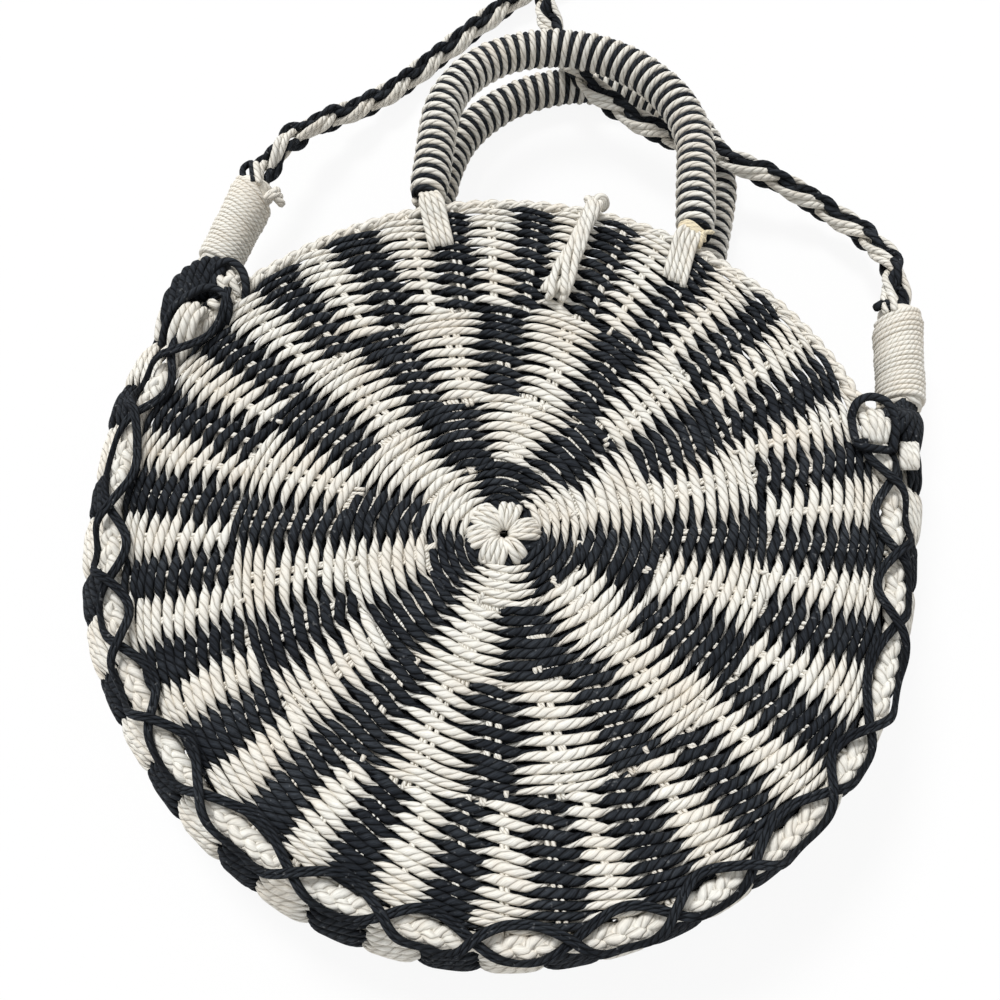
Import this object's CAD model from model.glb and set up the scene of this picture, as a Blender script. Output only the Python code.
import bpy
import math
import numpy as np
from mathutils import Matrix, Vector


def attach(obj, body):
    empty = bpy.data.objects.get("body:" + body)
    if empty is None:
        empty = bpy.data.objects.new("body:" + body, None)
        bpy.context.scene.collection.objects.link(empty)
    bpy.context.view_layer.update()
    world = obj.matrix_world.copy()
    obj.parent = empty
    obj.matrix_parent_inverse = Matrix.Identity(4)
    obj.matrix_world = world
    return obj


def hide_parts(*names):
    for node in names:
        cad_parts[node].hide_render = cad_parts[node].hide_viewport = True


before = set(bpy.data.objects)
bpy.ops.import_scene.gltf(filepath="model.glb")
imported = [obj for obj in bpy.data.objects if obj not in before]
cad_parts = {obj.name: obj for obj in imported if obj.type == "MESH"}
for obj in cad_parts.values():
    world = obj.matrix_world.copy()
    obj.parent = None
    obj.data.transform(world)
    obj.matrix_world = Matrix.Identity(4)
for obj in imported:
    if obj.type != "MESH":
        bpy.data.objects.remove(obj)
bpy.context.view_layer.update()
bpy.ops.object.select_all(action="DESELECT")

# Lengths are in millimetres until a mesh is built, which scales them to metres
MM = 0.001
TAU = 2 * math.pi
UP = np.array([0.0, 0.0, 1.0])
rng = np.random.default_rng(7)

# The two panels, and which way the face of each looks
SIDES = (("front", 1), ("back", -1))

# Sizes of the CAD solids that the cords follow; only the first row lies closer to the knot than its solid
RIM_MID_R = 166.3
RIM_TUBE_R = 4.2
WEFT_R = 161.5
RING_R = [14.2, 33.5, 66.5, 112.5, 161.5]
RING_STRIPES = [3, 6, 12, 24]
# Angle at the middle of one dark stripe in each ring
RING_PHASES = [98.8, 66.0, 97.5, 93.0]
# Share of a stripe by which the light ones are wider than the dark ones
LIGHT_WIDER = [0.10, 0.12, 0.15, 0.05]
RIM_Z = {"front": 54.5, "back": 11.5}
FRONT_FACE_Z = 57.0
FRONT_SAG = 3.0
BACK_RISE = 8.0
WEAVE_HALF = 3.0
GUSSET_DEGS = (145.0, 388.0)

# Rows of weaving in each ring, by the share of the ring that each row takes
ROW_SHARES = [
    [1, 1, 1, 1, 1],
    [4.4, 4.8, 5, 5, 4.8, 4.5, 4.3],
    [5.0, 5.6, 6.0, 6.0, 5.8, 5.4, 4.6, 4.0, 3.8],
    [5.9, 5.9, 5.8, 5.8, 5.3, 4.9, 4.4, 3.9, 3.5, 3.3]]

# The flower knot was tied a little to one side of the bag's middle, and the rings with it
HUB = np.array([-2.5, -4.5])
HUB_LEAN = np.array([2.5, 0.0])

# How far the real front rim strays from a circle, by angle
STRAY_DEGS = [0, 10, 25, 60, 90, 120, 138, 147, 155, 175, 183, 192, 205, 212, 225, 243, 250, 262, 272, 282, 300,
              310, 330, 340, 350, 360]
STRAY_MM = [-3.5, -3.1, 0.1, -0.6, -0.3, 0.9, 2.0, 3.6, 3.0, 2.2, 0.7, -0.8, -1.5, -2.5, -3.5, -3.3, -2, -1.6, 0.8,
            3.1, 3.0, 1.8, 1.2, 0.6, -2.0, -3.5]
MOUTH_DEGS = (28.0, 146.0)

# Strap route, the same points as the CAD tube's
STRAP_ROUTE = np.array([
    [-157.5, 175.5, 30], [-155.5, 189.5, 30], [-149.5, 211.5, 27], [-136.5, 233.5, 20],
    [-120.5, 253.5, 13], [-104.5, 275.5, 9], [-90.5, 297.5, 8], [-75.5, 319.5, 8], [-59.5, 342.5, 8],
    [-42.5, 364.5, 8], [-20.5, 383.5, 8], [5.5, 393.5, 8], [31.5, 403.5, 8], [52.5, 422.5, 8],
    [61.5, 450.5, 8], [55.5, 481.5, 8], [37.5, 505.5, 8], [11.5, 520.5, 8], [-18.5, 522.5, 8],
    [-48.5, 512.5, 8], [-70.5, 492.5, 8], [-81.5, 464.5, 8], [-79.5, 434.5, 9], [-68.5, 407.5, 14],
    [-53.5, 383.5, 21], [-41.5, 359.5, 25], [-33.5, 335.5, 28], [-24.5, 309.5, 29], [-10.5, 287.5, 28],
    [9.5, 267.5, 27], [33.5, 252.5, 27], [59.5, 241.5, 28], [85.5, 233.5, 28], [109.5, 229.5, 22],
    [131.5, 222.5, 16], [150.5, 209.5, 17], [163.5, 189.5, 24], [166.5, 167.5, 30], [167.5, 151.5, 30]], dtype=float)


def make_camera():
    """Camera at the photograph's viewing angle, in metres."""
    azimuth, elevation, distance = math.radians(9.5), math.radians(66.3), 0.485
    target = Vector((-0.0025, -0.0045, 0.054))
    way = Vector((math.sin(azimuth) * math.cos(elevation),
                  -math.cos(azimuth) * math.cos(elevation), math.sin(elevation)))
    data = bpy.data.cameras.new("camera")
    data.sensor_width = 36
    data.sensor_fit = "HORIZONTAL"
    data.lens = 41.4
    data.shift_x = 0.002
    data.shift_y = 0.032
    data.clip_start = 0.01
    camera = bpy.data.objects.new("camera", data)
    bpy.context.scene.collection.objects.link(camera)
    camera.location = target + way * distance
    camera.rotation_euler = (-way).to_track_quat("-Z", "Y").to_euler()
    bpy.context.scene.camera = camera


make_camera()


# Cord geometry
def unit(v):
    return v / np.maximum(np.linalg.norm(v, axis=-1, keepdims=True), 1e-9)


def run_along(points):
    """Distance along a list of points."""
    return np.concatenate([[0], np.cumsum(np.linalg.norm(np.diff(points, axis=0), axis=1))])


def uneven(at, low, high, count, mean, amount):
    """Unevenness of hand work along a cord, through as many random values as count says."""
    return np.interp(at, np.linspace(low, high, count), rng.normal(mean, amount, count))


def smooth_path(points, step, per_span=12):
    """Even points along a smooth curve through the given ones."""
    points = np.asarray(points, dtype=float)
    ext = np.vstack([2 * points[0] - points[1], points, 2 * points[-1] - points[-2]])
    fine = []
    for i in range(len(points) - 1):
        a, b, c, d = ext[i:i + 4]
        t = np.linspace(0, 1, per_span, endpoint=False)[:, None]
        fine.append(0.5 * (2 * b + (c - a) * t + (2 * a - 5 * b + 4 * c - d) * t ** 2
                           + (3 * b - a - 3 * c + d) * t ** 3))
    fine = np.vstack(fine + [points[-1][None]])
    run = run_along(fine)
    s = np.linspace(0, run[-1], max(3, int(round(run[-1] / step)) + 1))
    return np.stack([np.interp(s, run, fine[:, k]) for k in range(3)], axis=1)


def level(deg):
    """The level direction at an angle, and the one across it."""
    a = math.radians(deg)
    return np.array([math.cos(a), math.sin(a), 0]), np.array([-math.sin(a), math.cos(a), 0])


def frames(points, outs, closed=False):
    """Direction, side and up at each point; outs says roughly which way is up."""
    if closed:
        along = unit(np.roll(points, -1, 0) - np.roll(points, 1, 0))
    else:
        along = unit(np.gradient(points, axis=0))
    side = unit(np.cross(along, np.broadcast_to(outs, points.shape)))
    return along, side, np.cross(side, along)


class Cords:
    """Collects cords and builds them as one mesh with a cord map: u along in mm, v around."""
    # Share of its thickness that a cord keeps at a rounded end, and the mm over which the twists start
    END_SHARE = 0.62
    START_MM = 50

    def __init__(self):
        self.verts, self.faces, self.uvs, self.count = [], [], [], 0

    def tube(self, points, outs, wide, high=None, sides=8, closed=False, round_ends=False):
        points = np.asarray(points, dtype=float)
        n = len(points)
        high = wide if high is None else high
        wide = np.array(np.broadcast_to(np.asarray(wide, dtype=float), (n,)))
        high = np.array(np.broadcast_to(np.asarray(high, dtype=float), (n,)))
        if round_ends:
            wide[[0, -1]] *= self.END_SHARE
            high[[0, -1]] *= self.END_SHARE
        _, side, up = frames(points, outs, closed)
        turn = np.arange(sides) * TAU / sides
        ring = (points[:, None] + (wide[:, None] * np.cos(turn))[..., None] * side[:, None]
                + (high[:, None] * np.sin(turn))[..., None] * up[:, None])
        spans = n if closed else n - 1
        i = np.arange(spans)[:, None]
        j = np.arange(sides)[None, :]
        i2, j2 = (i + 1) % n, (j + 1) % sides
        quads = np.stack([i * sides + j, i2 * sides + j, i2 * sides + j2, i * sides + j2], -1)
        step = np.linalg.norm(np.roll(points, -1, 0) - points, axis=1)
        run = np.concatenate([[0], np.cumsum(step)])[:spans + 1] + rng.uniform(0, self.START_MM)
        u0 = np.broadcast_to(run[:-1, None], (spans, sides))
        u1 = np.broadcast_to(run[1:, None], (spans, sides))
        v0 = np.broadcast_to(j / sides, (spans, sides))
        v1 = np.broadcast_to((j + 1) / sides, (spans, sides))
        uv = np.stack([np.stack([u0, v0], -1), np.stack([u1, v0], -1),
                       np.stack([u1, v1], -1), np.stack([u0, v1], -1)], 2)
        base = self.count
        self.verts.append(ring.reshape(-1, 3))
        self.faces += list(map(tuple, (quads.reshape(-1, 4) + base)))
        self.uvs.append(uv.reshape(-1, 2))
        if not closed:
            self.faces.append(tuple(base + k for k in range(sides)))
            self.faces.append(tuple(base + (n - 1) * sides + k for k in reversed(range(sides))))
            self.uvs.append(np.tile([[run[0], 0.5]], (sides, 1)))
            self.uvs.append(np.tile([[run[-1], 0.5]], (sides, 1)))
        self.count += n * sides

    def strand(self, points, wide, high=None, step=1.2, way=1, round_ends=True):
        """A short cord on a smooth curve through a few points."""
        self.tube(smooth_path(points, step), UP * way, wide, high, round_ends=round_ends)

    def mesh_piece(self, name, material):
        mesh = bpy.data.meshes.new(name)
        mesh.from_pydata((np.vstack(self.verts) * MM).tolist(), [], self.faces)
        layer = mesh.uv_layers.new(name="cord")
        layer.data.foreach_set("uv", np.vstack(self.uvs).ravel())
        mesh.polygons.foreach_set("use_smooth", [True] * len(mesh.polygons))
        mesh.materials.append(material)
        mesh.update()
        piece = bpy.data.objects.new(name, mesh)
        bpy.context.scene.collection.objects.link(piece)
        return piece

    def build(self, name, material, body, node):
        piece = self.mesh_piece(name, material)
        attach(piece, body)
        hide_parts(node)


# Node groups and materials
def add_node(tree, kind, **values):
    """A node with its settings by name, and its inputs by in_ and a name or number: a value or a link."""
    node = tree.nodes.new(kind)
    for key, value in values.items():
        name = key[3:].replace("_", " ")
        if not key.startswith("in_"):
            setattr(node, key, value)
            continue
        socket = node.inputs[int(name) if name.isdigit() else name]
        if isinstance(value, bpy.types.NodeSocket):
            tree.links.new(value, socket)
        else:
            socket.default_value = value
    return node


def math_node(tree, operation, a, b=0.0):
    return add_node(tree, "ShaderNodeMath", operation=operation, in_0=a, in_1=b).outputs[0]


def mix_colours(tree, share, first, second, blend="MIX"):
    """The Mix node's sockets for colours are its inputs 6 and 7 and its output 2."""
    return add_node(tree, "ShaderNodeMix", data_type="RGBA", blend_type=blend,
                    in_0=share, in_6=first, in_7=second).outputs[2]


def make_ply_group():
    """Plies twisted round each other, with fine fibres along each of them."""
    slack_turns, lobe_power, groove_power, flank_power = 1.3, 0.6, 2.2, 2.5
    fibres_over_ply, fibres_over_mm, fibre_lift = 7.0, 0.25, 0.35
    tree = bpy.data.node_groups.new("ply_twist", "ShaderNodeTree")
    for name in ("Lay", "Plies"):
        tree.interface.new_socket(name=name, in_out="INPUT", socket_type="NodeSocketFloat")
    for name in ("Height", "Groove", "Fibre", "Lint", "Side"):
        tree.interface.new_socket(name=name, in_out="OUTPUT", socket_type="NodeSocketFloat")
    ins = tree.nodes.new("NodeGroupInput")
    outs = tree.nodes.new("NodeGroupOutput")
    uv = add_node(tree, "ShaderNodeUVMap", uv_map="cord")
    parts = add_node(tree, "ShaderNodeSeparateXYZ", in_0=uv.outputs[0])
    # The twist is a little tighter in one place than in another
    where = tree.nodes.new("ShaderNodeTexCoord").outputs["Object"]
    slack = add_node(tree, "ShaderNodeTexNoise", in_Vector=where, in_Scale=90.0, in_Detail=1.0)
    along = math_node(tree, "DIVIDE", parts.outputs[0], ins.outputs["Lay"])
    along = math_node(tree, "ADD", along, math_node(tree, "MULTIPLY", slack.outputs[0], slack_turns))
    around = math_node(tree, "MULTIPLY", parts.outputs[1], ins.outputs["Plies"])
    phase = math_node(tree, "SUBTRACT", around, along)
    share = math_node(tree, "FRACT", phase)
    # A lobe rises from 0 at the groove on each side of a ply to 1 in its middle
    lobe = math_node(tree, "MULTIPLY", share, math_node(tree, "SUBTRACT", 1.0, share))
    lobe = math_node(tree, "MULTIPLY", lobe, 4.0)
    height = math_node(tree, "POWER", lobe, lobe_power)
    groove = math_node(tree, "POWER", math_node(tree, "SUBTRACT", 1.0, lobe), groove_power)
    # Where the cord turns its side to the next one, little light comes in
    flank = math_node(tree, "COSINE", math_node(tree, "MULTIPLY", parts.outputs[1], TAU))
    flank = math_node(tree, "POWER", math_node(tree, "ABSOLUTE", flank), flank_power)
    place = add_node(tree, "ShaderNodeCombineXYZ", in_0=math_node(tree, "MULTIPLY", phase, fibres_over_ply),
                     in_1=math_node(tree, "MULTIPLY", parts.outputs[0], fibres_over_mm))
    fibre = add_node(tree, "ShaderNodeTexNoise", in_Vector=place.outputs[0], in_Scale=1.0, in_Detail=3.0,
                     in_Roughness=0.65).outputs[0]
    height = math_node(tree, "ADD", height, math_node(tree, "MULTIPLY", fibre, fibre_lift))
    fluff = add_node(tree, "ShaderNodeTexNoise", in_Vector=where, in_Scale=420.0, in_Detail=2.0)
    lint = add_node(tree, "ShaderNodeMapRange", in_Value=fluff.outputs[0], in_From_Min=0.66,
                    in_From_Max=0.74).outputs[0]
    for socket, value in zip(outs.inputs, (height, groove, fibre, lint, flank)):
        tree.links.new(value, socket)
    return tree


PLY_TWIST = make_ply_group()


def cord_material(name, main, other, groove_colour, lay, plies, relief=0.8, lint=0.0, depth=0.75,
                  flank=0.4, tones=(0.80, 1.10)):
    """Matte twisted cord: plies, fibres, and slow changes of colour over the bag."""
    material = bpy.data.materials.new(name)
    material.use_nodes = True
    tree = material.node_tree
    shader = tree.nodes["Principled BSDF"]
    shader.inputs["Roughness"].default_value = 0.88
    shader.inputs["Specular IOR Level"].default_value = 0.2
    ply = add_node(tree, "ShaderNodeGroup", node_tree=PLY_TWIST, in_Lay=lay, in_Plies=plies)
    where = tree.nodes.new("ShaderNodeTexCoord").outputs["Object"]
    slow = add_node(tree, "ShaderNodeTexNoise", in_Vector=where, in_Scale=45.0, in_Detail=4.0, in_Roughness=0.7)
    spread = add_node(tree, "ShaderNodeMapRange", in_Value=slow.outputs[0], in_From_Min=0.40, in_From_Max=0.70)
    tint = mix_colours(tree, spread.outputs[0], (*main, 1), (*other, 1))
    # The fibres make the colour lighter and darker between the two tones
    tone = add_node(tree, "ShaderNodeMapRange", clamp=False, in_Value=ply.outputs["Fibre"], in_From_Min=0.3,
                    in_From_Max=0.7, in_To_Min=tones[0], in_To_Max=tones[1])
    fleck = mix_colours(tree, 1.0, tint, tone.outputs[0], "MULTIPLY")
    shade = math_node(tree, "MAXIMUM", math_node(tree, "MULTIPLY", ply.outputs["Groove"], depth),
                      math_node(tree, "MULTIPLY", ply.outputs["Side"], flank))
    deep = mix_colours(tree, shade, fleck, (*groove_colour, 1))
    dusty = mix_colours(tree, math_node(tree, "MULTIPLY", ply.outputs["Lint"], lint), deep, LINT_COLOUR)
    tree.links.new(dusty, shader.inputs["Base Color"])
    bump = add_node(tree, "ShaderNodeBump", in_Strength=1.0, in_Distance=relief * MM,
                    in_Height=ply.outputs["Height"])
    tree.links.new(bump.outputs[0], shader.inputs["Normal"])
    return material


CREAM = (0.94, 0.925, 0.86)
CREAM_WARM = (0.88, 0.82, 0.72)
CREAM_GROOVE = (0.50, 0.43, 0.33)
NAVY = (0.011, 0.0135, 0.018)
NAVY_DUSTY = (0.031, 0.036, 0.043)
NAVY_GROOVE = (0.0015, 0.002, 0.003)
YELLOWED = (0.90, 0.80, 0.58)
YELLOWED_WARM = (0.86, 0.72, 0.50)
LINT_COLOUR = (0.42, 0.43, 0.44, 1)

cream_cord = cord_material("cream_cord", CREAM, CREAM_WARM, CREAM_GROOVE, 5.0, 3.0, relief=0.7, depth=0.5,
                           flank=0.25, tones=(0.78, 1.10))
navy_cord = cord_material("navy_cord", NAVY, NAVY_DUSTY, NAVY_GROOVE, 4.2, 3.0, relief=1.2, lint=0.25,
                          depth=0.95, flank=0.7, tones=(0.4, 2.2))
cream_thin = cord_material("cream_thin_cord", CREAM, CREAM_WARM, CREAM_GROOVE, 2.6, 3.0, relief=0.3)
yellow_thin = cord_material("yellowed_cord", YELLOWED, YELLOWED_WARM, CREAM_GROOVE, 2.6, 3.0, relief=0.3)


# The two-colour weave
def front_mid_z(r):
    r = np.asarray(r, dtype=float)
    sag = np.where(r < WEFT_R, FRONT_SAG * (1 - (r / WEFT_R) ** 2), 0)
    return FRONT_FACE_Z - sag + 1 - WEAVE_HALF


def back_mid_z(r):
    r = np.asarray(r, dtype=float)
    rise = np.clip((r - RING_R[3]) / (WEFT_R - RING_R[3]), 0, 1) * BACK_RISE
    return rise + WEAVE_HALF + 0.15


def stray(deg, way=1):
    """How far the rim is outside its circle, at angles seen from the middle; the back rim is round."""
    return np.interp(np.mod(deg, 360), STRAY_DEGS, STRAY_MM) * max(way, 0)


# How far the weaving and the rim's plait reach further out along the mouth
MOUTH_REACH, MOUTH_RIM = 2.6, 0.9


def mouth(deg):
    """1 along the mouth, where the rim hangs free, 0 along the gusset, and 10 degrees between the two."""
    deg = np.mod(deg, 360)
    return np.clip(np.minimum(deg - MOUTH_DEGS[0], MOUTH_DEGS[1] - deg) / 10, 0, 1)


def panel_place(way):
    """Turns angle, radius and distance out of a panel's middle into a point. Three rings lie
    round the flower knot, and the last one fills the room up to the rim."""
    def place(deg, r, out):
        a = np.radians(deg)
        ahead = np.stack([np.cos(a), np.sin(a)], -1)
        off = ahead @ HUB
        edge = WEFT_R + stray(deg, way) + MOUTH_REACH * mouth(deg) * max(way, 0)
        reach = np.sqrt(off ** 2 - HUB @ HUB + edge ** 2) - off
        share = np.maximum((r - RING_R[3]) / (RING_R[4] - RING_R[3]), 0)
        real_r = np.where(r > RING_R[3], RING_R[3] + share * (reach - RING_R[3]), r)
        lean = 1 - np.minimum(r, WEFT_R) / WEFT_R
        x = real_r * ahead[..., 0] + HUB[0] + HUB_LEAN[0] * lean
        y = real_r * ahead[..., 1] + HUB[1] + HUB_LEAN[1] * lean
        span = np.hypot(x, y)
        mid = front_mid_z(span) if way > 0 else back_mid_z(span)
        return np.stack([x, y, mid + way * out + 0 * x], -1)
    return place


def seen_from_middle(deg):
    """Angle from the bag's middle of a stripe's end at the rim, whose angle is from the knot."""
    a = np.radians(deg)
    return deg + np.degrees((HUB[1] * np.cos(a) - HUB[0] * np.sin(a)) / RIM_MID_R)


# How far the stripes of each ring run on: degrees all round, degrees more where they do most, and where
# that is, in radians
RUN_ON = [(0, 0, 0), (-9, 4, 1.6), (0, 0.6, 0.5), (0, 3.8, 0.4)]


def drawn_on(deg, ring):
    """Angle at which a stripe or spoke really lies."""
    even, more, at = RUN_ON[ring]
    wave = np.cos(np.radians(deg) - at)
    # The outermost stripes run on at one side of the bag only
    if ring == 3:
        wave = np.maximum(wave, 0) ** 2
    return deg + even + more * wave


# How far an edge between two colours drifts, as a share of a stripe, and how a row takes after the last one
EDGE_DRIFT, KEPT_DRIFT, NEW_DRIFT = 0.075, 0.65, 0.75


def stripe_edges(ring, row_count, from_deg, to_deg):
    """Angles at which the colours change, a little different in each row."""
    width = 180.0 / RING_STRIPES[ring]
    first = math.floor((from_deg - RING_PHASES[ring]) / width) - 2
    last = math.ceil((to_deg - RING_PHASES[ring]) / width) + 2
    k = np.arange(first, last + 1)
    nominal = RING_PHASES[ring] + (k + 0.5) * width
    # A light stripe begins at an even edge
    nominal = drawn_on(nominal, ring) + np.where(k % 2 == 0, -0.5, 0.5) * LIGHT_WIDER[ring] * width
    closed = to_deg - from_deg >= 360
    turn = 2 * RING_STRIPES[ring] if closed else len(k)
    drift = rng.normal(0, EDGE_DRIFT, (row_count, turn))
    for row in range(1, row_count):
        drift[row] = KEPT_DRIFT * drift[row - 1] + NEW_DRIFT * drift[row]
    index = (k - first) % turn
    return k, nominal[None] + drift[:, index] * width


def row_radii(ring):
    """Middle radius and width of each row of a ring."""
    shares = np.array(ROW_SHARES[ring], dtype=float)
    pitch = shares / shares.sum() * (RING_R[ring + 1] - RING_R[ring])
    return RING_R[ring] + np.cumsum(pitch) - pitch / 2, pitch


# Cords of the weaving, in mm: step along a row, how far out the front one lies, half its height where it
# changes places, and how much more that is where it shows
ROW_STEP, ROW_OUT, ROW_HIGH, ROW_SWELL = 1.9, 1.6, 1.0, 0.38
# The most that half a width, or the lean over the row, may be: in mm, and as a share of the row's width
LIGHT_HALF, DARK_HALF, CROSSING_HALF, LEAN = (2.2, 0.44), (2.3, 0.475), (0.85, 0.3), (1.9, 0.34)
# Share of its width that a cord keeps behind the other one
BEHIND = 0.4
# How unevenly a row lies, in mm, and swells, and the degrees over which that ends where it meets itself
WANDER, WANDER_SEAM = 0.32, 12
SWELL, SWELL_SEAM = 0.06, 4
# Cords under the weaving: step along them, how far in they lie, and half their height
UNDER_STEP, UNDER_OUT, UNDER_HIGH = 4.5, -1.7, 1.1


def at_most(limit, pitch):
    return min(limit[0], limit[1] * pitch)


def lay_row(light, dark, place, ring, k, edges, r, pitch, from_deg, to_deg, closed):
    """One row of weaving: a light and a dark cord that change places between the stripes."""
    arc = math.radians(to_deg - from_deg) * r
    deg = np.linspace(from_deg, to_deg, int(arc / ROW_STEP), endpoint=not closed)
    q = np.interp(deg, edges, k.astype(float))
    share = q - np.floor(q)
    bow = np.sin(np.pi * share)
    # The stripe after an even edge is a light one
    light_front = np.where(np.floor(q).astype(int) % 2 == 0, 1.0, -1.0)
    # The wider the stripe, the more of it lies flat between the two crossings
    stripe_mm = math.radians(180.0 / RING_STRIPES[ring]) * r
    sharp = max(1.3, 0.11 * stripe_mm)
    raised = light_front * np.tanh(sharp * bow) / math.tanh(sharp)
    lean = -np.cos(np.pi * share) * at_most(LEAN, pitch)
    wander = uneven(deg, from_deg, to_deg, 60, 0, WANDER)
    if closed:
        wander = wander * np.minimum(1, np.minimum(deg - from_deg, to_deg - deg) / WANDER_SEAM)
    grow = np.clip(1.5 * bow, 0, 1) ** 0.75
    narrow = at_most(CROSSING_HALF, pitch)
    for cords, sign, half in ((light, 1.0, LIGHT_HALF), (dark, -1.0, DARK_HALF)):
        front = sign * raised
        swell = uneven(deg, from_deg, to_deg, 90, 1, SWELL)
        if closed:
            swell = np.where((deg < from_deg + SWELL_SEAM) | (deg > to_deg - SWELL_SEAM), 1.0, swell)
        wide = narrow + (at_most(half, pitch) - narrow) * grow * np.where(front > 0, 1.0, BEHIND) * swell
        across = r + sign * light_front * lean + wander
        points = place(deg, across, ROW_OUT * front)
        above = place(deg, across, ROW_OUT * front + 1)
        cords.tube(points, above - points, wide, ROW_HIGH + ROW_SWELL * grow, closed=closed)


def weave_panel(side, way):
    light, dark, under = Cords(), Cords(), Cords()
    place = panel_place(way)
    for ring in range(4):
        radii, pitch = row_radii(ring)
        # Dark cords between the rows, under the spokes, close the gaps
        for r, wide in zip(radii - pitch / 2, pitch):
            deg = np.linspace(0, 360, max(24, int(TAU * r / UNDER_STEP)), endpoint=False)
            under.tube(place(deg, r, UNDER_OUT), UP * way, 0.5 * wide, UNDER_HIGH, sides=4, closed=True)
        k, edges = stripe_edges(ring, len(radii), 0, 360)
        for row, r in enumerate(radii):
            lay_row(light, dark, place, ring, k, edges[row], r, pitch[row], 0, 360, True)
    light.build(side + "_light_weave", cream_cord, "bag", side + "_light_stripes")
    dark.build(side + "_dark_weave", navy_cord, "bag", side + "_dark_stripes")
    under.build(side + "_under_cords", navy_cord, "bag", side + "_dark_stripes")


for side, way in SIDES:
    weave_panel(side, way)

# Spokes under the weaving: how the cords of one bundle lie beside each other in each ring, how thick they
# are, and in what share of the gaps between the rows they show
BUNDLES = [[-5.6, -4, -2.4, -0.8, 0.8, 2.4, 4, 5.6], [-4.4, -2.6, -0.9, 0.9, 2.6, 4.4],
           [-3.3, -1.75, 1.75, 3.3], [-0.95, 0.95]]
SPOKE_R = [0.95, 1.0, 0.95, 1.05]
SHOWN = [0.3, 0.4, 0.55, 0.6]
# Share of the light stripes at which cut ends of the new spokes stand out
STUB_SHARE = 0.6


def lay_spokes(side, way):
    """Spokes lie under the rows and come up in some of the gaps between them."""
    cords = Cords()
    place = panel_place(way)
    step = 1.5 if way > 0 else 5
    for ring in range(4):
        width = 180.0 / RING_STRIPES[ring]
        inner, outer = RING_R[ring] - (2 if ring else -1), RING_R[ring + 1] + 2
        radii, pitch = row_radii(ring)
        gaps = (radii[1:] + radii[:-1]) / 2
        for i in range(2 * RING_STRIPES[ring]):
            deg0 = drawn_on(RING_PHASES[ring] + i * width, ring) + rng.normal(0, 0.04) * width
            # Odd stripes are the light ones
            stub = i % 2 == 1 and ring > 0 and rng.random() < STUB_SHARE
            open_gap = rng.random(len(gaps)) < SHOWN[ring] * (1.0 if i % 2 else 1.5)
            for c, gap in enumerate(BUNDLES[ring]):
                shown = stub and c in (1, 2)
                start = inner - (rng.uniform(1.5, 4.0) if shown else 0)
                r = np.linspace(start, outer, int((outer - start) / step))
                rise = np.exp(-((r[:, None] - gaps) / (0.3 * pitch[1:])) ** 2) * open_gap
                lift = rise.sum(1) * 0.9 if way > 0 else 0 * r
                if shown:
                    lift = np.maximum(lift, 3.0 - (r - start) * 0.55)
                taper = np.clip(r / RING_R[ring + 1], 0.55, 1)
                deg = deg0 + np.degrees(gap * taper / np.maximum(r, 8)) + rng.normal(0, 0.12)
                cords.tube(place(deg, r, lift + 0.25), UP * way, SPOKE_R[ring], sides=6)
    cords.build(side + "_spokes", cream_thin, "bag", side + "_panel")


for side, way in SIDES:
    lay_spokes(side, way)

# The flower knot in the middle of a panel: each petal's angle, strands, width and length's share
PETALS = [(84, 3, 10.0, 0.9), (146, 4, 11.5, 1.0), (200, 4, 10.5, 0.98), (257, 4, 11.5, 0.96),
          (312, 2, 7.5, 0.88), (17, 4, 10.0, 0.96)]
# A strand from root to tip: how far from the knot's middle, what share of its spread, and how far out
STRAND_R = np.array([3.2, 4.6, 7.2, 11.0, 14.0, 15.6])
STRAND_SPREAD = np.array([0.3, 0.5, 0.85, 1.0, 1.0, 0.9])
STRAND_OUT = np.array([0.2, 2.2, 3.6, 3.7, 2.4, -0.8])
# Angles of the light cords that fill the petals from below, and of the dark ones that show between them
FILLER_DEGS = (81, 146, 200, 257, 17)
GAP_DEGS = (49, 113, 172, 229, 286, 340, 352)


def flower_knot(side, way):
    cords, gaps = Cords(), Cords()
    place = panel_place(way)
    for deg0, n, span, length in PETALS:
        spread = span / n
        for c in np.arange(n) - (n - 1) / 2:
            r = STRAND_R * [1, 1, 1, length, length, length]
            deg = deg0 + np.degrees(STRAND_SPREAD * c * spread / r)
            out = STRAND_OUT - 0.3 * abs(c) + rng.normal(0, 0.15)
            path = smooth_path(place(deg, r, out), 1.2)
            half = np.interp(run_along(path), [0, 5, 12, 18], [0.95, 1.5, 0.56 * spread, 0.5 * spread])
            cords.tube(path, UP * way, half, 1.9)
    for deg0 in FILLER_DEGS:
        spots = place(deg0, np.array([4.0, 8.0, 15.0]), np.array([-0.6, -0.4, -1.2]))
        cords.strand(spots, 1.7, 1.2, 2.0, way, round_ends=False)
    for deg0 in GAP_DEGS:
        gaps.tube(place(deg0, np.array([7.0, 11.0, 15.5]), 0.4), UP * way, 2.2, 1.6)
    cords.build(side + "_flower", cream_cord, "bag", side + "_hub_knot")
    gaps.build(side + "_flower_gaps", navy_cord, "bag", side + "_hub_knot")


for side, way in SIDES:
    flower_knot(side, way)

# Angles at which the lacing's cords cross on the rims
CROSSINGS = [147.5, 161.4, 172.1, 188.2, 199.4, 209.4, 221.3, 234.2, 250.7, 263.7, 275.3, 287.5, 300.5,
             312.4, 326.8, 336.9, 352.7, 363.9, 375.4, 387.5]


def lace_phase(deg):
    """Half a turn from one crossing of the lacing to the next."""
    turned = np.where(np.mod(deg, 360) < 40, np.mod(deg, 360) + 360, np.mod(deg, 360))
    return math.pi * np.interp(turned, CROSSINGS, np.arange(len(CROSSINGS)))


# The rims' plait: step along it, rise of its strands, and length of one turn of them
PLAIT_STEP, PLAIT_RISE, PLAIT_TURN = 1.9, 1.3, 25.0


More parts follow.
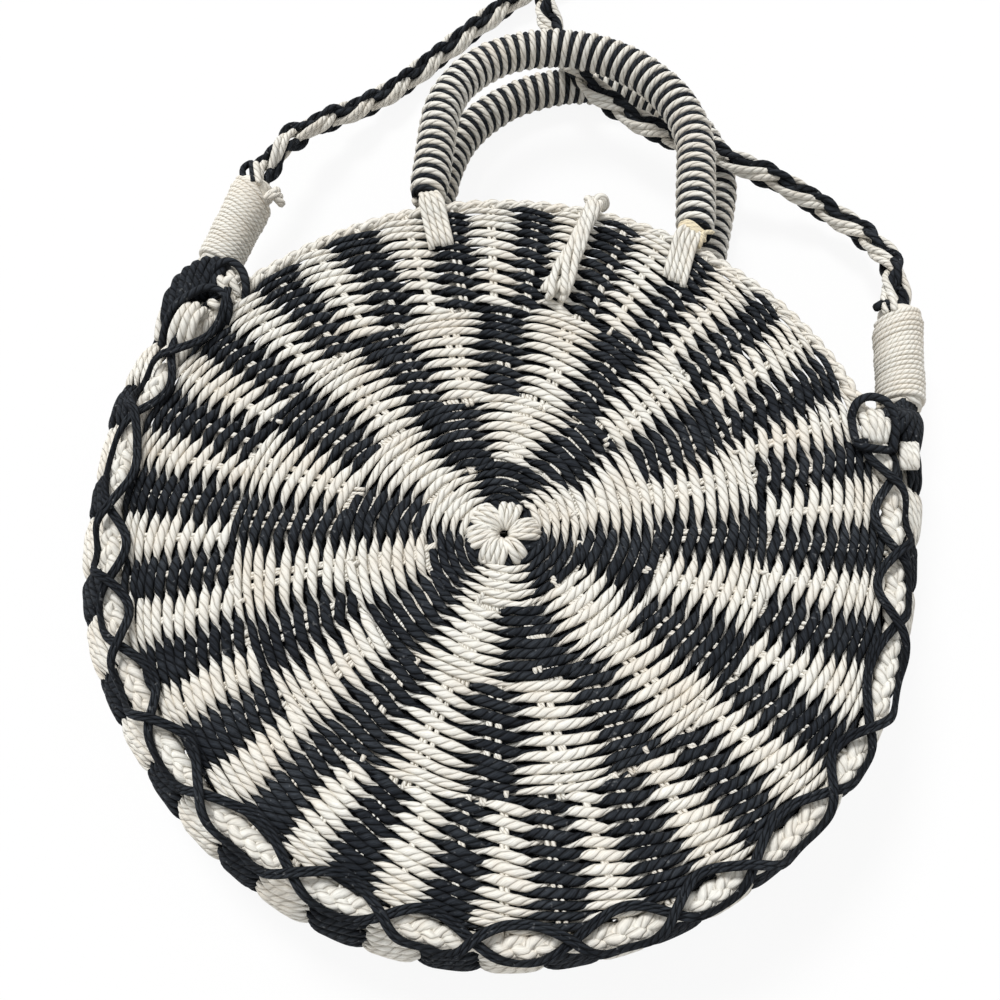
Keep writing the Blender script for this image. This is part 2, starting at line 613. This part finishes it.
def bind_rim(side, way):
    """A plait of three strands round a panel, slim at the mouth and pinched where the lacing crosses."""
    cords = Cords()
    a = np.linspace(0, TAU, int(TAU * RIM_MID_R / PLAIT_STEP), endpoint=False)
    deg = np.degrees(a)
    r = RIM_MID_R + stray(deg, way) + MOUTH_RIM * mouth(deg)
    path = np.stack([r * np.cos(a), r * np.sin(a), np.full(len(a), RIM_Z[side])], 1)
    # The plait is fullest halfway between two crossings of the lacing
    full = np.abs(np.sin(lace_phase(deg)))
    swing = np.where(mouth(deg) > 0, 2.0 - 0.9 * mouth(deg), 1.6 + 0.8 * full)
    thick = np.where(mouth(deg) > 0, 2.1 - 0.4 * mouth(deg), 2.1 + 0.35 * full)
    run = run_along(np.vstack([path, path[:1]]))
    turns = round(run[-1] / PLAIT_TURN)
    _, across, up = frames(path, UP * way, closed=True)
    for k in range(3):
        turn = TAU * (turns * run[:-1] / run[-1] + k / 3)
        middle = path + (swing * np.sin(turn))[:, None] * across + (PLAIT_RISE * np.sin(2 * turn))[:, None] * up
        cords.tube(middle, up, thick, closed=True)
    cords.build(side + "_rim_plait", cream_cord, "bag", side + "_rim_braid")


for side, way in SIDES:
    bind_rim(side, way)

# The gusset between the panels, in mm, and its rows of weaving
GUSSET_MID, GUSSET_HALF = 33.0, 17.0
GUSSET_EDGE_R, GUSSET_BULGE = 164.8, 8.0
GUSSET_ROWS, GUSSET_PITCH, GUSSET_ROW_R = 12, 4.6, 180.0
# How far the middle of the weaving lies outside the gusset's solid
GUSSET_OUT = 1.4

# The strap pulls the gusset's two ends outwards
BULGE_DEGS = [145, 160, 168, 175, 183, 190, 205, 213, 221, 240, 260, 281, 296, 338, 350, 361, 368, 376,
              382, 388]
BULGE_MM = [25, 25, 22, 17, 15, 15.5, 14, 12, 10.5, 10, 9.5, 6.5, 5.8, 6, 7, 10.5, 12, 18, 23, 26]


def gusset_place(deg, across, out):
    """across runs over the band from the back rim to the front rim, from -1 to 1."""
    bulge = np.interp(deg, BULGE_DEGS, BULGE_MM)
    r = GUSSET_EDGE_R + bulge * (1 - across ** 2) + stray(deg) * (across + 1) / 2
    slope = -2 * bulge * across / GUSSET_HALF
    length = np.sqrt(1 + slope ** 2)
    r_out = r + (GUSSET_OUT + out) / length
    z = GUSSET_MID + GUSSET_HALF * across - slope * (GUSSET_OUT + out) / length
    a = np.radians(seen_from_middle(deg))
    return np.stack([r_out * np.cos(a), r_out * np.sin(a), z + 0 * r_out], -1)


def weave_gusset():
    light, dark, spokes = Cords(), Cords(), Cords()
    k, edges = stripe_edges(3, GUSSET_ROWS, *GUSSET_DEGS)
    t = np.linspace(-1, 1, 200)
    arc = run_along(np.stack([GUSSET_BULGE * (1 - t ** 2), GUSSET_HALF * t], 1))
    for row in range(GUSSET_ROWS):
        middle = np.interp((row + 0.5) / GUSSET_ROWS * arc[-1], arc, t)
        size = math.hypot(2 * GUSSET_BULGE * middle, GUSSET_HALF)

        def place(deg, r, out, middle=middle, size=size):
            return gusset_place(deg, np.clip(middle + (r - GUSSET_ROW_R) / size, -1.05, 1.05), out)

        lay_row(light, dark, place, 3, k, edges[row], GUSSET_ROW_R, GUSSET_PITCH, *GUSSET_DEGS, False)
    width = 180.0 / RING_STRIPES[3]
    stripes = np.arange(math.ceil((GUSSET_DEGS[0] - RING_PHASES[3]) / width),
                        (GUSSET_DEGS[1] - RING_PHASES[3]) / width + 1)
    across = np.linspace(-1, 1, 12)
    for deg0 in drawn_on(RING_PHASES[3] + width * stripes, 3):
        if deg0 > GUSSET_DEGS[1] - 1:
            continue
        # Two cords lie side by side under each stripe
        for c in (-0.33, 0.33):
            points = gusset_place(deg0 + c + 0 * across, across, 0.1 + 0 * across)
            outs = gusset_place(deg0 + 0 * across, across, 1.1 + 0 * across) - points
            spokes.tube(points, outs, 1.0, sides=6)
    light.build("gusset_light_weave", cream_cord, "bag", "gusset_light_stripes")
    dark.build("gusset_dark_weave", navy_cord, "bag", "gusset_dark_stripes")
    spokes.build("gusset_spokes", cream_thin, "bag", "gusset_band")


weave_gusset()


# The lacing: how far it goes to either side of the rim, how high the upper cord lies where they cross, half
# the distance between the two cords of a pair, and degrees by which it ends before the last crossing
LACE_REACH, LACE_LIFT, LACE_PAIR, LACE_SHORT = 7.9, 2.6, 0.85, 4.5


def lace_rim(side, way):
    """Two pairs of dark cords that cross on the rim and roll down over its outside."""
    cords = Cords()
    deg = np.linspace(CROSSINGS[0], CROSSINGS[-1] - LACE_SHORT, 440)
    a = np.radians(deg)
    phase = lace_phase(deg)
    roll_r = RIM_TUBE_R + 1.5
    dip = 0.1 if way > 0 else 0.0
    for hand in (1, -1):
        slack = uneven(deg, deg[0], deg[-1], 40, 1, 0.1)
        reach = hand * LACE_REACH * np.sin(phase) * slack
        lift = 0 if hand > 0 else LACE_LIFT * np.cos(phase) ** 2
        roll = np.maximum(0, reach) / roll_r
        out = np.where(reach < 0, reach, (roll_r + lift) * np.sin(roll))
        up = (roll_r + lift) * np.cos(roll) + np.minimum(0, reach) * dip
        r = RIM_MID_R + stray(deg, way) + out
        middle = np.stack([r * np.cos(a), r * np.sin(a), RIM_Z[side] + way * up], 1)
        outs = np.stack([np.sin(roll) * np.cos(a), np.sin(roll) * np.sin(a), way * np.cos(roll)], 1)
        _, across, _ = frames(middle, outs)
        for half in (-LACE_PAIR, LACE_PAIR):
            cords.tube(middle + half * across, outs, 1.05, 1.2)
    cords.build(side + "_lacing_cords", navy_cord, "bag", side + "_lacing")


for side, way in SIDES:
    lace_rim(side, way)


# Handles
def arch_point(s, half_w, leg, skew):
    bend = math.pi * half_w
    a = (s - leg) / half_w
    x = np.where(s < leg, -half_w, np.where(s < leg + bend, -half_w * np.cos(a), half_w))
    y = np.where(s < leg, s, np.where(s < leg + bend, leg + half_w * np.sin(a), 2 * leg + bend - s))
    return np.stack([x - skew * y / (leg + half_w), y, 0 * x], -1)


# Handles: radius of the rope core, radius that the winding starts from, and length of one turn of it
CORE_R, WOUND_R, WIND_PITCH = 7.0, 6.2, 6.25
# The winding's light and dark cord: how far round it starts, how thick it is, and how far it stands out
WINDINGS = ((0.0, 1.72, 2.1), (math.pi, 1.55, 1.7))


def wind_handle(part, half_w, leg, skew, place):
    total = 2 * leg + math.pi * half_w
    core, light, dark = Cords(), Cords(), Cords()
    s = np.linspace(-3.5, total + 3.5, 90)
    end = np.minimum(s + 5.5, total + 5.5 - s)
    up = place(np.array([[0, 0, 1.0]])) - place(np.zeros((1, 3)))
    core.tube(place(arch_point(s, half_w, leg, skew)), up, CORE_R * np.clip(end / 6.0, 0.3, 1) ** 0.5, sides=14)
    core.build(part + "_rope_core", navy_cord, part, part + "_core")
    s = np.linspace(-3.0, total + 3.0, int(total / WIND_PITCH * 22))
    # The winding tightens towards the ends of the legs
    ease = np.clip((np.minimum(s, total - s) + 5) / 15, 0, 1)
    middle = arch_point(s, half_w, leg, skew)
    ahead = unit(arch_point(s + 0.5, half_w, leg, skew) - arch_point(s - 0.5, half_w, leg, skew))
    across = np.stack([ahead[:, 1], -ahead[:, 0], 0 * s], 1)
    for cords, (shift, thick, proud) in zip((light, dark), WINDINGS):
        turn = TAU * s / WIND_PITCH + shift
        outs = np.cos(turn)[:, None] * across + np.sin(turn)[:, None] * UP
        swell = uneven(s, -3, total + 3, 60, 0, 0.12)
        points = middle + (WOUND_R + proud * np.sin(ease * math.pi / 2) + swell)[:, None] * outs
        placed = place(points)
        cords.tube(placed, place(points + outs) - placed, thick, thick * 0.92)
    light.build(part + "_light_winding", cream_cord, part, part + "_core")
    dark.build(part + "_dark_winding", navy_cord, part, part + "_wrap")


FRONT_HINGE = np.array([-0.5, 166.76, 52.5])
BACK_HINGE = np.array([1.5, 163.88, 10.07])
DROOP = math.radians(3.2)


def place_front(points):
    x, y, z = points[..., 0], points[..., 1], points[..., 2]
    return FRONT_HINGE + np.stack([x, y * math.cos(DROOP) + z * math.sin(DROOP),
                                   z * math.cos(DROOP) - y * math.sin(DROOP)], -1)


def place_back(points):
    return BACK_HINGE + points


wind_handle("front_handle", 65.0, 47.0, 9.0, place_front)
wind_handle("back_handle", 73.0, 55.0, -7.0, place_back)


# Lashings that tie the handle legs to the panels: distance between their four cords, and for the cord tied
# round one of them, the place and size of its rings and where its ends go
LASH_GAP = 3.05
TIED_RINGS = ((0.0, 6.4), (1.2, 5.6), (-1.4, 6.0))
TIED_ENDS = (((3, 5), (-6, 3.6)), ((5, 4.5), (-1, -3)), ((4, 5), (6, -6)))


def lash(side, hand, way, hinge, leg_x, face, lean_deg=0, knotted=False):
    """Cords from a leg's end over the rim onto the panel, whose face lies face mm above the rim's middle."""
    name = side + "_" + hand
    radial, across = level(math.degrees(math.atan2(hinge[1], leg_x)))
    ball_r = math.hypot(hinge[1], leg_x)
    rim = radial * RIM_MID_R + UP * RIM_Z[side]
    sway = math.tan(math.radians(lean_deg))
    cords = Cords()
    for c in range(4):
        off = (c - 1.5) * LASH_GAP
        reach = 22 + rng.uniform(-1.5, 1)
        spots = [(ball_r - RIM_MID_R, -0.5), (7.0, 5.0), (2.6, 6.2), (-1.8, 6.1), (-9, face + 1.7),
                 (-reach + 3, face + 1.4), (-reach, face - 0.6)]
        points = [rim + radial * out + UP * way * up + across * (off * (0.75 if out > 6 else 1) - min(0, out) * sway)
                  for out, up in spots]
        cords.strand(points, 1.6, 1.5, 1.5, way, round_ends=False)
    cords.build(name + "_lashing_cords", cream_cord, "bag", name + "_lashing")
    if not knotted:
        return
    # A yellowed cord is tied round the leg end and its lashing
    cords = Cords()
    middle = rim + radial * 7.5 + UP * way * 4.5
    for c, (lift, size) in enumerate(TIED_RINGS):
        t = np.linspace(0, TAU, 40, endpoint=False) + c
        ring = (middle + radial * lift + across * (size * np.cos(t))[:, None]
                + UP * way * (3.0 * np.sin(t) - 0.8)[:, None] + radial * (0.8 * np.sin(2 * t))[:, None])
        cords.tube(ring, ring - middle, 1.15, 1.0, closed=True)
    for start, end in TIED_ENDS:
        points = [middle + radial * (start[0] - 6) + across * -start[1] + UP * way * 1.5,
                  middle + radial * (end[0] * 0.4 - 2) + across * (-start[1] - 1.5) + UP * way * 1.8,
                  middle + radial * (end[0] - 2) + across * (-start[1] - 3 + end[1] * 0.2) - UP * way * 0.5]
        cords.strand(points, 1.1, 1.0, way=way)
    cords.build(name + "_knot_cords", yellow_thin, "bag", name + "_lashing")


lash("front", "left", 1, FRONT_HINGE, -65.5, 3.0)
lash("front", "right", 1, FRONT_HINGE, 64.5, 3.0, -14, True)
lash("back", "left", -1, BACK_HINGE, -71.5, 5.0)
lash("back", "right", -1, BACK_HINGE, 74.5, 5.0)

# The closing tie: where it starts, the angle it runs at, its length and twist, how much shorter each of its
# strands is, and where its knot is
TIE_START = np.array([14.78, 165.64, 61.5])
TIE_DEG, TIE_LENGTH, TIE_TWIST = 258, 55.5, 95
TIE_SHORTER = (0, 2.5, 0.5, 3.5, 1.2)
TIE_KNOT = np.array([15.7, 174.5, 53.0])


def closing_tie():
    """Five long loose strands that fan out towards their cut ends, and their knot outside the rim."""
    ahead, across = level(TIE_DEG)
    cords = Cords()
    for k, shorter in enumerate(TIE_SHORTER):
        run = np.linspace(-3, TIE_LENGTH - shorter, 40)
        turn = TAU * (run / TIE_TWIST + k / len(TIE_SHORTER))
        fan = 2.2 + 3.4 * np.clip((run - 12) / 42, 0, 1) ** 1.3
        lift = 1.2 * np.cos(turn) - 2.0 * np.clip((run - 48) / 8, 0, 1)
        points = (TIE_START + run[:, None] * ahead + (fan * np.sin(turn))[:, None] * across
                  + lift[:, None] * UP)
        cords.tube(points, UP, 1.9 + 0.15 * np.sin(run * 1.1 + k), 1.6, round_ends=True)
    cords.build("closing_tie_plait", cream_cord, "tie", "closing_tie")
    cords = Cords()
    t = np.linspace(0, TAU, 60, endpoint=False)
    knot = np.stack([np.sin(t) + 2 * np.sin(2 * t), np.cos(t) - 2 * np.cos(2 * t), -np.sin(3 * t)], 1)
    cords.tube(knot * [1.6, 1.35, 1.9] + TIE_KNOT, UP + 0.01, 2.1, closed=True)
    for x, y in ((-3.0, 3.0), (0.5, 4.5), (3.5, 2.4), (4.4, -0.6)):
        end = TIE_KNOT + [x, y, 1.0]
        cords.strand([TIE_KNOT + [x * 0.3, -0.5, 0.5], (end + TIE_KNOT + UP * 3) / 2, end], 0.8, step=1.0)
    cords.build("closing_tie_knot_cord", cream_cord, "bag", "closing_tie_knot")


closing_tie()

# Where the strap leaves on each side, and at what angle
STRAP_ENDS = {"left": (STRAP_ROUTE[0], 82), "right": (STRAP_ROUTE[-1], 93.6)}
# Whippings: turns, radius, half the width and height of their cord, and radius of the bundle inside
WHIP_TURNS, WHIP_R, WHIP_HALF, WHIP_HIGH, BUNDLE_R = 18, 10.1, 1.34, 1.15, 9.2


def strap_end(hand):
    """Where the strap leaves, the way back from there into the bag, and the way across."""
    out, dir_deg = STRAP_ENDS[hand]
    ahead, across = level(dir_deg)
    return out, -ahead, across


def whip(hand, slant, first, last):
    """A whipping from first to last mm behind the strap's exit, and the gathered cords inside it."""
    out, back, across = strap_end(hand)
    core = Cords()
    core.tube(out + np.linspace(0.2, last + 2, 20)[:, None] * back, UP, BUNDLE_R, sides=16)
    core.build(hand + "_gathered_cords", cream_cord, "bag", hand + "_strap_end")
    cords = Cords()
    t = np.linspace(0, 1, WHIP_TURNS * 28)
    turn = TAU * WHIP_TURNS * t
    bulge = 0.7 * np.interp(t, [0, 0.12, 0.35, 1], [0.6, 1.2, 0.2, 0.1])
    r = WHIP_R + bulge + uneven(t, 0, 1, 40, 0, 0.22)
    outs = np.cos(turn)[:, None] * across + np.sin(turn)[:, None] * UP
    tilt = slant * np.interp(t, [0, 0.5, 1], [1, 0.8, 0.3]) * np.cos(turn)
    length = np.interp(t, [0, 1], [first, last])
    points = out + (length + tilt)[:, None] * back + r[:, None] * outs
    cords.tube(points, outs, WHIP_HALF + uneven(t, 0, 1, 50, 0, 0.1), WHIP_HIGH)
    cords.build(hand + "_whipping_turns", cream_thin, "bag", hand + "_whipping")


whip("left", -5.0, 5.6, 52.0)
whip("right", 4.0, 4.0, 51.5)


# Cut ends and loops of the strap's cords beside the whippings
def cord_ends():
    navy, cream = Cords(), Cords()
    navy.strand([(-159.5, 168.5, 35), (-164, 176.5, 34), (-166.5, 183.5, 33), (-163, 187, 34),
                 (-160.3, 181.5, 37), (-157, 171.5, 38)], 1.7, round_ends=False)
    cream.strand([(-160, 186.5, 35), (-158, 181.5, 38), (-153.5, 170.5, 39)], 1.7)
    for k, end in enumerate([(-142.5, 169.5, 33), (-145, 173, 34), (-141, 165.5, 31), (-144.5, 168.5, 36)]):
        cream.strand([(-151.5 + k, 163.5, 34), (-147, 166.5 + 0.6 * k, 36), end], 2.2)
    navy.build("left_cord_loop", navy_cord, "bag", "left_strap_tails")
    cream.build("left_cut_ends", cream_cord, "bag", "left_strap_tails")
    navy, cream = Cords(), Cords()
    navy.strand([(163.5, 147.5, 38), (159.5, 151.5, 37), (155, 149, 35)], 2.3)
    cream.strand([(163.5, 145.5, 40), (162.5, 153.5, 39), (161, 159, 36)], 1.8)
    cream.strand([(160.5, 145.5, 37), (159, 152.5, 37), (160.5, 160.5, 33)], 1.8)
    navy.build("right_cut_end", navy_cord, "bag", "right_strap_tails")
    cream.build("right_cut_ends", cream_cord, "bag", "right_strap_tails")


cord_ends()


# The ends of the gusset, where its cords are gathered into the whippings
def gather(hand, pale, fan, loops, chunk):
    """pale says how many of the lowest cords are light, chunk where short light ones lie."""
    out, back, across = strap_end(hand)
    base = out + back * 47.5
    navy, cream = Cords(), Cords()
    inward, end_deg = (1, GUSSET_DEGS[0]) if hand == "left" else (-1, GUSSET_DEGS[1])
    for k, height in enumerate(np.linspace(-0.9, 0.95, 11)):
        for layer in (0, 1):
            start = gusset_place(end_deg + inward * (4.5 - 2.2 * layer), height, 1.2 + layer)
            near = gusset_place(end_deg + inward * 0.5, height, 2.6 + layer)
            # Low cords go to the underside of the bundle, high ones over it on the outside
            turn = -math.pi / 2 + (height + 1) / 2 * math.pi * 0.9
            end = base + (7.6 - 2.0 * layer) * (inward * math.cos(turn) * across + math.sin(turn) * UP)
            points = [start, near, (near + 2 * end) / 3 + back * 1.5 - UP * 2.5, end - UP * 1.5]
            tone = cream if k < pale else navy
            tone.strand(points, 2.1, 1.9, 1.6, round_ends=False)
    # Cords that come up from the bundle, lie over the rim and go back into the weave
    for k, (top, low) in enumerate(fan):
        spread = 2.0 * k / (len(fan) - 1) - 1
        foot = base + back * 5.5 + across * -6.5 * spread - UP * 2.0
        top, low = np.array(top), 0.1 * np.array(top) + 0.9 * np.array(low)
        points = [foot, 0.3 * foot + 0.7 * top + UP * 1.0, top, (top + low) / 2 + UP * 1.2, low,
                  low + (low - top) * 0.1 - UP * 6]
        navy.strand(points, 2.2, 2.0, 1.5, round_ends=False)
    for points in loops:
        navy.strand(points, 1.95, 1.8, 1.3, round_ends=False)
    for points in chunk:
        cream.strand(points, 2.1, 1.8, 1.3)
    navy.build(hand + "_gathered_navy_cords", navy_cord, "bag", hand + "_strap_lug")
    cream.build(hand + "_gathered_cream_cords", cream_cord, "bag", hand + "_strap_lug")


gather("left", 6,
       [((-175.5, 92.8, 48), (-171.8, 75.7, 52)), ((-172.2, 98.5, 52), (-168.2, 78.2, 55)),
        ((-167.9, 102.3, 55), (-164.9, 81.8, 58)), ((-163.7, 105.1, 57), (-161.9, 84.5, 60)),
        ((-159.5, 107.5, 58), (-158.8, 86.7, 60)), ((-154.9, 108.3, 58), (-156, 88.8, 60)),
        ((-150, 107, 57), (-152.6, 90.4, 59))],
       [[(-153.2, 90.4, 58), (-154.1, 100, 60), (-150, 106, 61), (-144.8, 106.5, 61), (-140, 102.8, 60),
         (-136.9, 96, 59), (-136.7, 90.7, 55)],
        [(-172, 66, 46), (-169.5, 72, 54), (-165.4, 78.4, 61), (-159, 85, 63), (-152.8, 89.8, 63),
         (-146, 89, 62.5), (-142, 84.9, 61), (-141, 80, 59), (-142.1, 76.4, 56)]],
       [[(-152, 101, 57), (-148.5, 96, 60), (-144, 90.5, 57.5)],
        [(-149.5, 92, 57), (-146, 96.5, 60.5), (-141.5, 101, 57)],
        [(-147, 104, 57), (-143.5, 97, 59.5), (-139.5, 92, 56.5)],
        [(-163.8, 60.1, 53), (-163.4, 66.2, 59), (-161.3, 74, 62), (-159.3, 82, 60)],
        [(-160.3, 59.3, 54), (-158.6, 65, 60), (-157.2, 72.7, 63), (-155.3, 82, 61)],
        [(-155.2, 60.4, 55), (-154.8, 67.1, 60), (-153.5, 74.1, 62), (-152.5, 81.6, 58)],
        [(-151.6, 85.9, 57), (-148.5, 83.2, 61), (-145.8, 82.4, 58)],
        [(-175.3, 69.7, 44), (-176.3, 80.3, 46), (-174.5, 90.3, 47), (-168.9, 97.1, 46)],
        [(-171.7, 70.1, 45), (-171.9, 79.3, 46), (-169.5, 88.5, 47), (-165, 95.5, 46)],
        [(-168.2, 70.1, 44), (-168, 78.3, 46), (-165.5, 86.5, 47), (-161, 93.5, 46)]])
gather("right", 7,
       [((165.5, 82, 52), (159, 76, 57)), ((168, 83, 51), (162.5, 72, 56)), ((170.5, 84, 49), (166, 69.4, 53)),
        ((173, 84, 46), (169.5, 68, 50)), ((175.5, 83, 42), (172.5, 67, 46))],
       [[(141.3, 70, 56), (141.3, 75.5, 59), (143.2, 80.2, 61), (148.3, 82.6, 62), (155.3, 80.7, 62),
         (159.4, 72.2, 61), (159.6, 59.4, 57)],
        [(141.3, 74.5, 57), (141.8, 65, 60), (144, 58.3, 61), (150, 57, 62), (157.7, 58.5, 60)]],
       [[(146, 77, 56), (147, 70, 59.5), (148, 63, 58)], [(149.5, 79, 57), (150, 71, 61), (150.5, 62, 58)],
        [(153, 79, 57), (153, 71, 61), (153, 62, 58)], [(156.5, 76, 56), (156, 70, 59.5), (155.5, 63, 57)],
        [(166.3, 68.9, 50), (165.5, 60.2, 54), (166.3, 54.4, 52)],
        [(168.7, 69.3, 50), (167.8, 60.6, 54), (168.6, 54.8, 52)],
        [(171.1, 69.7, 50), (170.2, 60.9, 54), (171.0, 55.2, 52)]])


# The strap's light and dark strands: which way they turn, how far they go out to the sides and up, and
# whether their two cords turn round each other
STRANDS = ((1, 5.2, 2.2, 0), (-1, 1.8, 4.3, 1))
# Half the distance between a strand's two cords, the length in which they turn once, and half their size
PAIR_HALF, PAIR_TURN, STRAND_WIDE, STRAND_HIGH = 1.55, 18.0, 1.85, 1.75


def shoulder_strap():
    """Four strands braided round, so that each colour keeps to two opposite sides."""
    path = smooth_path(STRAP_ROUTE, 2.0)
    run = run_along(path)
    _, side, up = frames(path, UP)
    share = run / run[-1]
    # The navy sides start at the braid's edges and come to its top
    roll = np.radians(np.interp(run, [0, 32, 62, 400, 700, run[-1]], [82, 74, 12, 5, 12, 12]))[:, None]
    side, up = side * np.cos(roll) + up * np.sin(roll), up * np.cos(roll) - side * np.sin(roll)
    lay = np.interp(share, [0, 0.4, 0.75, 1], [54, 54, 60, 60])
    turn = TAU * np.concatenate([[0], np.cumsum(np.diff(run) / lay[1:])])
    light, dark = Cords(), Cords()
    for cords, (way, wide, high, twisted) in zip((light, dark), STRANDS):
        ply = twisted * TAU * run / PAIR_TURN
        for k in (0, 1):
            angle = way * turn + math.pi * k
            middle = path + (wide * np.cos(angle))[:, None] * side + (high * np.sin(angle))[:, None] * up
            outs = np.cos(angle)[:, None] * side + np.sin(angle)[:, None] * up
            _, s2, u2 = frames(middle, outs)
            pair = np.cos(ply)[:, None] * s2 + np.sin(ply)[:, None] * u2
            for half in (-PAIR_HALF, PAIR_HALF):
                cords.tube(middle + half * pair, outs, STRAND_WIDE, STRAND_HIGH)
    braid = light.mesh_piece("shoulder_strap_braid", cream_cord)
    dark_strands = dark.mesh_piece("strap_dark_strands", navy_cord)
    bpy.ops.object.select_all(action="DESELECT")
    for piece in (braid, dark_strands):
        piece.select_set(True)
    bpy.context.view_layer.objects.active = braid
    bpy.ops.object.join()
    bpy.ops.object.select_all(action="DESELECT")
    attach(braid, "bag")
    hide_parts("shoulder_strap")


shoulder_strap()


# Floor, light and background; the share of white that the floor shows the camera, the rest is its shadow
FLOOR_WHITE = 0.91


def make_studio():
    bpy.ops.mesh.primitive_plane_add(size=6, location=(0, 0, -0.0004))
    floor = bpy.context.object
    floor.name = "floor"
    material = bpy.data.materials.new("pale_floor")
    material.use_nodes = True
    tree = material.node_tree
    tree.nodes.remove(tree.nodes["Principled BSDF"])
    matte = add_node(tree, "ShaderNodeBsdfDiffuse", in_Color=(0.9, 0.9, 0.9, 1))
    glow = add_node(tree, "ShaderNodeEmission", in_Color=(1, 1, 1, 1), in_Strength=1.0)
    rays = tree.nodes.new("ShaderNodeLightPath")
    seen = math_node(tree, "MAXIMUM", rays.outputs["Is Camera Ray"], rays.outputs["Is Glossy Ray"])
    seen = math_node(tree, "MAXIMUM", seen, rays.outputs["Is Transmission Ray"])
    mix = add_node(tree, "ShaderNodeMixShader", in_0=math_node(tree, "MULTIPLY", seen, FLOOR_WHITE),
                   in_1=matte.outputs[0], in_2=glow.outputs[0])
    tree.links.new(mix.outputs[0], tree.nodes["Material Output"].inputs[0])
    floor.data.materials.append(material)
    world = bpy.data.worlds.new("soft_white")
    bpy.context.scene.world = world
    world.use_nodes = True
    background = world.node_tree.nodes["Background"]
    background.inputs[0].default_value = (1, 1, 1, 1)
    background.inputs[1].default_value = 0.55
    lamp = bpy.data.lights.new("key_light", "SUN")
    lamp.energy = 2.3
    lamp.angle = math.radians(18)
    key = bpy.data.objects.new("key_light", lamp)
    bpy.context.scene.collection.objects.link(key)
    key.rotation_euler = Vector((0.45, -0.5, -1.0)).to_track_quat("-Z", "Y").to_euler()


make_studio()
bpy.context.scene.view_settings.view_transform = "Standard"
